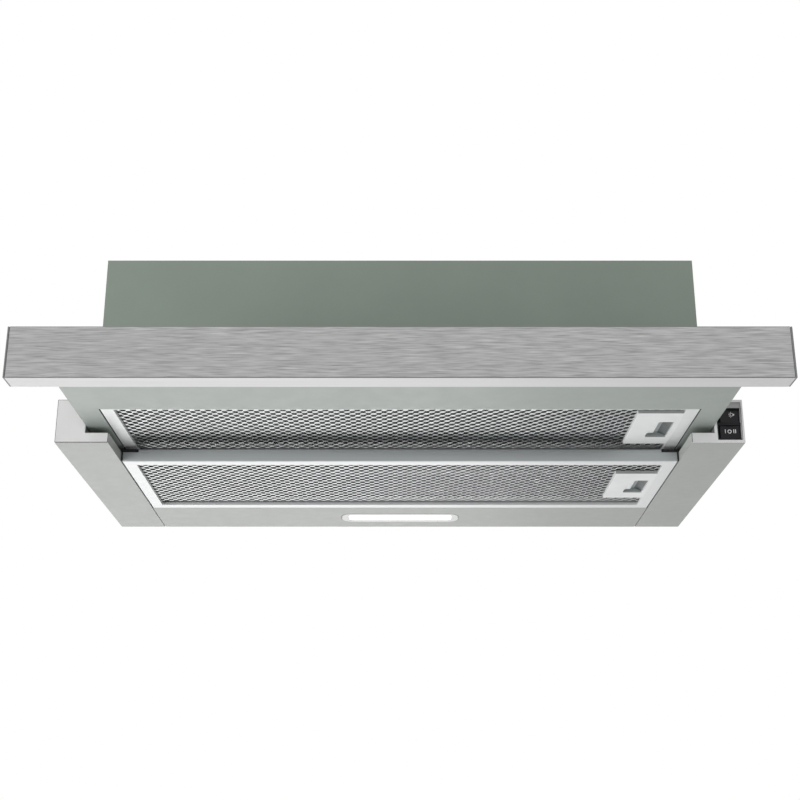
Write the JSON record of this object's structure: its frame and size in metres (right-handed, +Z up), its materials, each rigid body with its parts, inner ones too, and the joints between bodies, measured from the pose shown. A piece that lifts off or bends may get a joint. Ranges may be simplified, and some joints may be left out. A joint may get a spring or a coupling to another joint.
{
  "type": "pull-out range hood",
  "caption": "Slim range hood that hides in a wall cabinet, with a pull-out drawer front, hinged mesh filters, a lamp, rocker switches and a fan with a top duct collar.",
  "frame": {"origin": "middle of the hood's footprint at the height of its underside, with the drawer pulled out", "axes": "+X runs to the right along the front panel, +Y from the panel to the wall, +Z up to the duct collar"},
  "size_m": [0.6, 0.458, 0.202],
  "materials": {
    "casing_paint": "satin baked grey-green paint",
    "body_paint": "satin light grey paint",
    "zinc": "bright zinc plated sheet",
    "cap_plastic": "fine light grey",
    "panel_profile": "satin anodised",
    "brushed_skin": "brushed along X, satin",
    "filter_aluminium": "bright rolled",
    "mesh_aluminium": "expanded foil",
    "handle_plastic": "satin",
    "latch_plastic": "smooth",
    "latch_grey": "dark satin",
    "spring_steel": "bright",
    "lamp_trim": "smooth",
    "lamp_diffuser": "frosted, lit",
    "circuit_board": "solder mask",
    "fan_plastic": "moulded",
    "motor_steel": "pressed can",
    "mount_rubber": "matt",
    "box_plastic": "moulded",
    "black_plastic": "moulded",
    "rocker_plastic": "smooth",
    "lead_sleeve": "smooth"
  },
  "bodies": {
    "hood_body": {"motor_box": "casing_paint", "top_plate": "casing_paint", "rear_panel": "casing_paint", "deck_plate": "zinc", "side_casing_left": "body_paint", "side_casing_right": "body_paint", "rear_strip": "body_paint", "front_cap_left": "cap_plastic", "front_cap_right": "cap_plastic", "lamp_bezel": "lamp_trim", "lamp_lens": "lamp_diffuser", "lamp_board": "circuit_board", "volute_left": "fan_plastic", "volute_right": "fan_plastic", "motor": "motor_steel", "motor_bracket": "zinc", "motor_mounts": "mount_rubber", "terminal_box": "box_plastic", "cable_gland": "black_plastic", "duct_collar": "fan_plastic", "damper_pin": "zinc", "lamp_switch_body": "black_plastic", "speed_switch_body": "black_plastic", "drawer_microswitch": "black_plastic", "microswitch_lever": "spring_steel", "slide_outer_left": "zinc", "slide_outer_right": "zinc", "drawer_stops": "black_plastic", "rear_filter_keeper": "spring_steel", "wiring_harness": "lead_sleeve", "casing_screws": "zinc"},
    "drawer": {"drawer_tray": "body_paint", "drawer_cover": "body_paint", "front_panel_body": "panel_profile", "front_panel_skin": "brushed_skin", "panel_end_cap_left": "cap_plastic", "panel_end_cap_right": "cap_plastic", "slide_inner_left": "zinc", "slide_inner_right": "zinc", "panel_screws": "zinc", "front_filter_keeper": "spring_steel"},
    "ball_cages": {"ball_cages": "zinc"},
    "rear_filter": {"rear_filter_frame": "filter_aluminium", "rear_filter_mesh": "mesh_aluminium", "rear_handle_plate": "handle_plastic", "rear_latch_housing": "latch_grey", "rear_latch_spring": "spring_steel"},
    "rear_latch": {"rear_latch": "latch_plastic"},
    "front_filter": {"front_filter_frame": "filter_aluminium", "front_filter_mesh": "mesh_aluminium", "front_handle_plate": "handle_plastic", "front_latch_housing": "latch_grey", "front_latch_spring": "spring_steel"},
    "front_latch": {"front_latch": "latch_plastic"},
    "impeller": {"impeller": "fan_plastic", "motor_shaft": "zinc"},
    "lamp_rocker": {"lamp_rocker": "rocker_plastic"},
    "speed_rocker": {"speed_rocker": "rocker_plastic"},
    "damper_flap_left": {"damper_flap_left": "fan_plastic"},
    "damper_flap_right": {"damper_flap_right": "fan_plastic"}
  },
  "joints": [
    {"name": "drawer_slide", "type": "slide", "parent": "hood_body", "child": "drawer", "axis": [0, 1, 0], "range_m": [0, 0.139], "deforming": ["microswitch_lever"]},
    {"name": "ball_cage_slide", "type": "slide", "parent": "hood_body", "child": "ball_cages", "axis": [0, 1, 0], "range_m": [0, 0.0695]},
    {"name": "rear_filter_swing", "type": "hinge", "parent": "hood_body", "child": "rear_filter", "pos_m": [-0.252, 0.069, 0], "axis": [0, -1, 0], "range_deg": [-30, 0], "deforming": ["rear_filter_keeper"]},
    {"name": "front_filter_swing", "type": "hinge", "parent": "drawer", "child": "front_filter", "pos_m": [-0.252, -0.047, 0.015], "axis": [0, -1, 0], "range_deg": [-30, 0], "deforming": ["front_filter_keeper"]},
    {"name": "rear_latch_slide", "type": "slide", "parent": "rear_filter", "child": "rear_latch", "axis": [-1, 0, 0], "range_m": [0, 0.0055], "stiffness_N_per_m": 150, "springref_m": -0.005, "deforming": ["rear_latch_spring"]},
    {"name": "front_latch_slide", "type": "slide", "parent": "front_filter", "child": "front_latch", "axis": [-1, 0, 0], "range_m": [0, 0.0055], "stiffness_N_per_m": 150, "springref_m": -0.005, "deforming": ["front_latch_spring"]},
    {"name": "lamp_rocker_tilt", "type": "hinge", "parent": "hood_body", "child": "lamp_rocker", "pos_m": [0.2875, -0.0628, 0.0247], "axis": [0, 0, 1], "range_deg": [-16, 0]},
    {"name": "speed_rocker_tilt", "type": "hinge", "parent": "hood_body", "child": "speed_rocker", "pos_m": [0.2875, -0.0628, 0.01], "axis": [0, 0, 1], "range_deg": [-8, 8]},
    {"name": "impeller_spin", "type": "hinge", "parent": "hood_body", "child": "impeller", "pos_m": [0, 0.077, 0.10203], "axis": [1, 0, 0], "continuous": true},
    {"name": "damper_left_swing", "type": "hinge", "parent": "hood_body", "child": "damper_flap_left", "pos_m": [0, 0.081, 0.188], "axis": [0, 1, 0], "range_deg": [0, 72]},
    {"name": "damper_right_swing", "type": "hinge", "parent": "hood_body", "child": "damper_flap_right", "pos_m": [0, 0.081, 0.188], "axis": [0, -1, 0], "range_deg": [0, 72]}
  ],
  "couplings": [
    {"joint": "ball_cage_slide", "follows": "drawer_slide", "ratio": 0.5},
    {"joint": "front_filter_swing", "follows": "rear_filter_swing", "ratio": 1}
  ]
}
